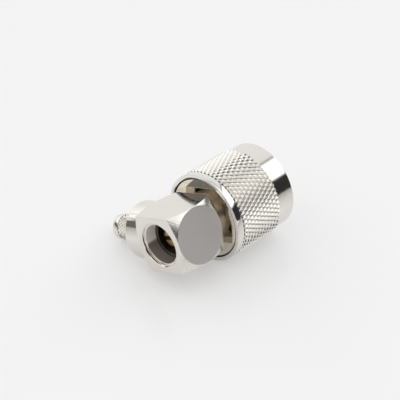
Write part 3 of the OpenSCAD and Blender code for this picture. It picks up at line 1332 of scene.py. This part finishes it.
@dataclass
class CentreContact(Part):
    """The gold-plated pin with its slotted solder post."""

    post_radius: float = 1.9
    conductor_radius: float = 1.5  # radius of the conductor inside the insulators
    slot_width: float = 1.0

    def build(self) -> None:
        """Build, slot and dress the contact."""
        start, end = self.plug.span("centre_contact")
        head = self.plug.span("rear_insulator")[0]
        pin = self.dims("mating_pin")
        nose = end - pin["r_mm"]
        foot = nose - pin["length_mm"]
        piece = turned("centre_contact_body", path(
            ONLY,
            (0, start),
            (self.post_radius, start, 0.15),
            (self.post_radius, head, 0.05),
            (self.conductor_radius, head),
            (self.conductor_radius, foot, 0.15),
            (pin["r_mm"], foot, 0.05),
            (pin["r_mm"], nose, 0.2),
            (pin["r_mm"] / 2, end, 0.2),
            (0, end),
        ), columns=96)
        reach, side = 2 * self.post_radius, self.slot_width / 2
        combine(piece, block("wire_cutter", (start - PAST, -reach, -side), (side, reach, side)),
                Joining.CUT)
        self.settle(piece, BODY, ["centre_contact"], "gold", self.materials(self.finishes.gold))


@dataclass
class Insulation(Part):
    """The gasket and the two insulators."""

    bore: float = 1.52  # radius of the insulators' bores
    gasket_bore: float = 4.7
    shell_bore: float = 2.98  # radius of the rear insulator's thin end
    head: float = 1.1  # length of its thick end
    columns: int = 128  # number of columns round each piece

    def tube(self, node: str, inner: float, edge: float, material: Material,
             slot: str) -> None:
        """Build a plain ring that fills a CAD node's box.

        Args:
            node: The CAD node that it stands for.
            inner: Radius of its bore.
            edge: Rounding of its edges.
            material: Its material.
            slot: The record's material slot.
        """
        rear, front = self.plug.span(node)
        outer = half_size(node)
        piece = turned(node + "_body", path(
            ONLY,
            (inner, rear, edge), (outer, rear, edge), (outer, front, edge), (inner, front, edge),
        ), columns=self.columns)
        self.settle(piece, BODY, [node], slot, [material])

    def rear_bead(self, material: Material) -> None:
        """Build the stepped insulator behind the solder post.

        Args:
            material: Its material.
        """
        rear, front = self.plug.span("rear_insulator")
        outer = half_size("rear_insulator")
        piece = turned("rear_insulator_body", path(
            ONLY,
            (self.bore, rear, 0.05),
            (outer, rear, 0.1),
            (outer, rear + self.head, 0.05),
            (self.shell_bore, rear + self.head),
            (self.shell_bore, front, 0.1),
            (self.bore, front, 0.05),
        ), columns=self.columns)
        self.settle(piece, BODY, ["rear_insulator"], "ptfe", [material])

    def build(self) -> None:
        """Build and dress the three pieces."""
        ptfe, silicone = self.materials(self.finishes.ptfe, self.finishes.silicone)
        self.tube("front_insulator", self.bore, 0.08, ptfe, "ptfe")
        self.tube("gasket", self.gasket_bore, 0.25, silicone, "silicone")
        self.rear_bead(ptfe)


# ---------------------------------------------------------------- the studio


@dataclass(frozen=True)
class View:
    """The camera."""

    aim: Triple = (-11.29, 4.79, 0.41)  # point that it looks at, in millimetres in the row frame
    azimuth: float = -47.78  # its direction about the vertical, in degrees; 0 looks along +Y
    elevation: float = 36.9  # its height above the horizon, in degrees
    roll: float = 2.4  # its lean about the line of sight, in degrees
    distance: float = 0.609  # its distance from the aim, in metres
    lens: float = 248.8  # focal length, in millimetres
    sensor: float = 36.0  # width of its frame, in millimetres
    near: float = 0.01  # distance from which it sees, in metres
    far: float = 20.0  # distance up to which it sees, in metres

    def forward(self) -> Vector:
        """Return the direction that the camera looks in."""
        azimuth, elevation = math.radians(self.azimuth), math.radians(self.elevation)
        return Vector((-math.sin(azimuth) * math.cos(elevation),
                       math.cos(azimuth) * math.cos(elevation), -math.sin(elevation)))

    def build(self) -> None:
        """Make the camera and hand the scene over to it."""
        forward = self.forward()
        data = bpy.data.cameras.new("camera")
        data.lens, data.sensor_width = self.lens, self.sensor
        data.clip_start, data.clip_end = self.near, self.far
        camera = new_object("camera", data)
        turn = forward.to_track_quat("-Z", "Y").to_matrix().to_4x4()
        turn = turn @ Matrix.Rotation(math.radians(self.roll), 4, "Z")
        place = Vector(self.aim) * MM - forward * self.distance
        camera.matrix_world = Matrix.Translation(place) @ turn
        bpy.context.scene.camera = camera


@dataclass(frozen=True)
class Tent:
    """A light tent that is open, and dark, low down on the camera's side.

    A direction's height, back and side are its parts upward, away from the camera and to the
    camera's right, as the tent leans. A pair of them tells where a rise starts and where it ends.
    """

    lean: float = 17.0  # angle in degrees by which the tent leans away from the camera
    sky: float = 0.92  # brightness of the tent
    gap: float = 0.03  # brightness of the dark room that shows in the tent's opening
    left_gap: float = 0.13  # brightness that the room gains towards the left
    left: Pair = (0.0, -0.6)  # sides between which the room gains it
    opening: float = 0.32  # height of the opening's top in the middle and on the left
    rise: float = 0.19  # how much higher the opening's top is at the far right
    # Heights above the opening's top between which the tent begins
    edge: Pair = (-0.03, 0.05)
    # Backs between which the opening is shut behind the plug
    back: Pair = (0.25, 0.55)
    # Heights between which light comes from under the opening
    below: Pair = (-0.02, -0.10)
    panel: float = 0.55  # brightness that the tent's brighter panels add
    right_panel: Pair = (0.43, 0.47)  # sides between which the right panel begins
    left_panel: Pair = (-0.2, -0.8)  # sides between which the left panel begins
    # Heights above the opening's top between which the panels begin
    panel_foot: Pair = (0.0, 0.08)
    seam: float = 0.45  # brightness that a seam takes away
    right_seam: Pair = (0.40, 0.045)  # side of the right seam, and half of its width
    left_seam: Pair = (-0.75, 0.03)  # side of the left seam, and half of its width
    # Heights above the opening's top between which the seams begin
    seam_foot: Pair = (0.0, 0.1)
    seam_core: float = 0.4  # share of a seam's half width over which it is darkest
    left_share: float = 0.6  # strength of the left panel and seam, as a share of the right ones'
    zenith: float = 0.25  # brightness that the top of the tent lacks
    top: Pair = (0.88, 0.99)  # heights between which the tent loses it
    backdrop: float = 0.9  # brightness that the camera itself sees behind the table
    tone: Triple = (1.0, 0.995, 0.985)  # colour of the light

    def build(self, view: View) -> None:
        """Light the scene.

        Args:
            view: The camera, from whose side the tent is open.
        """
        world = bpy.data.worlds.new("tent")
        world.use_nodes = True
        bpy.context.scene.world = world
        nodes = Nodes(world.node_tree)

        def band(middle: float, half: float) -> NodeSocket:
            """Rise to 1 in the middle of a band of sides and fall to 0 at its edges."""
            off = nodes.math("ABSOLUTE", nodes.minus(side, middle))
            return nodes.ramp(off, half, self.seam_core * half)

        def pair(right: Input, left: Input, foot: Input, strength: float) -> NodeSocket:
            """Return the brightness of the same thing on both sides, from its foot upward."""
            both = nodes.most(right, nodes.times(left, self.left_share))
            return nodes.times(nodes.times(both, foot), strength)

        forward = view.forward()
        away = Vector((forward.x, forward.y, 0)).normalized()
        right = Vector((away.y, -away.x, 0))
        lean = Matrix.Rotation(-math.radians(self.lean), 4, right)
        direction = nodes.add("TexCoord").outputs["Generated"]
        height, back, side = (nodes.dot(direction, axis)
                              for axis in (lean @ Vector((0, 0, 1)), lean @ away, right))
        # The opening reaches higher on the right than on the left, and is shut behind the plug
        right_side = nodes.most(side, 0.0)
        rise = nodes.times(nodes.times(right_side, right_side), self.rise)
        above = nodes.minus(height, nodes.plus(rise, self.opening))
        shut = nodes.most(nodes.ramp(above, *self.edge), nodes.ramp(back, *self.back))
        lit = nodes.most(shut, nodes.ramp(height, *self.below))
        gap = nodes.plus(nodes.times(nodes.ramp(side, *self.left), self.left_gap), self.gap)
        # Brighter panels of the tent hang on both sides, with dark seams
        panels = pair(nodes.ramp(side, *self.right_panel), nodes.ramp(side, *self.left_panel),
                      nodes.ramp(above, *self.panel_foot), self.panel)
        seams = pair(band(*self.right_seam), band(*self.left_seam),
                     nodes.ramp(above, *self.seam_foot), self.seam)
        strength = nodes.plus(nodes.times(lit, nodes.minus(self.sky, gap)), gap)
        strength = nodes.minus(nodes.plus(strength, panels), seams)
        strength = nodes.minus(strength, nodes.times(nodes.ramp(height, *self.top), self.zenith))
        seen = nodes.add("LightPath").outputs["Is Camera Ray"]
        strength = nodes.plus(nodes.times(strength, nodes.minus(1.0, seen)),
                              nodes.times(seen, self.backdrop))
        background = nodes.add("Background", Color=opaque(self.tone), Strength=strength)
        nodes.add("OutputWorld", Surface=background.outputs["Background"])


@dataclass(frozen=True)
class Lamp:
    """A square lamp that faces the plug."""

    name: str = "overhead"
    place: Triple = (0.05, -0.1, 0.9)  # where it hangs, in metres in the row frame
    size: float = 0.7  # its side, in metres
    power: float = 0.6  # its power, in watts

    def build(self) -> None:
        """Hang the lamp."""
        data = bpy.data.lights.new(self.name, "AREA")
        data.energy = self.power
        data.size = self.size
        turn = Vector(self.place).to_track_quat("Z", "Y").to_matrix().to_4x4()
        new_object(self.name, data).matrix_world = Matrix.Translation(self.place) @ turn


@dataclass(frozen=True)
class Table:
    """The table that the plug lies on."""

    floor: float  # height of the table, in metres
    size: float = 0.7  # side of the table, in metres
    top: TableTop = TableTop()  # finish of the table

    def build(self) -> None:
        """Lay the table under the plug."""
        half = self.size / 2
        mesh = bpy.data.meshes.new("table")
        corners = [(-half, -half), (half, -half), (half, half), (-half, half)]
        mesh.from_pydata([(x, y, self.floor) for x, y in corners], [], [(0, 1, 2, 3)])
        mesh.materials.append(self.top.build())
        table = new_object("table", mesh)
        table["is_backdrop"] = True


def main() -> None:
    """Build and dress every piece, then set up the studio and the camera."""
    logging.basicConfig(level=logging.INFO, format="%(name)s: %(message)s")
    cad_box = [list(corner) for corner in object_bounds()]
    record = frame["record"]
    plug = PlugFrame.from_record(record)
    finishes = Finishes()
    for part in (ElbowBlock, FrontShell, CouplingNut, CentreContact, Insulation):
        part(record, plug, finishes).build()
    ring = frame["nodes"]["retaining_ring"]
    ring.data.materials.clear()
    give(ring, [finishes.ring.build(plug)])
    view = View()
    view.build()
    Table(cad_box[0][2]).build()
    Tent().build(view)
    Lamp().build()
    bpy.context.scene.view_settings.view_transform = "Standard"


if __name__ == "__main__":
    main()
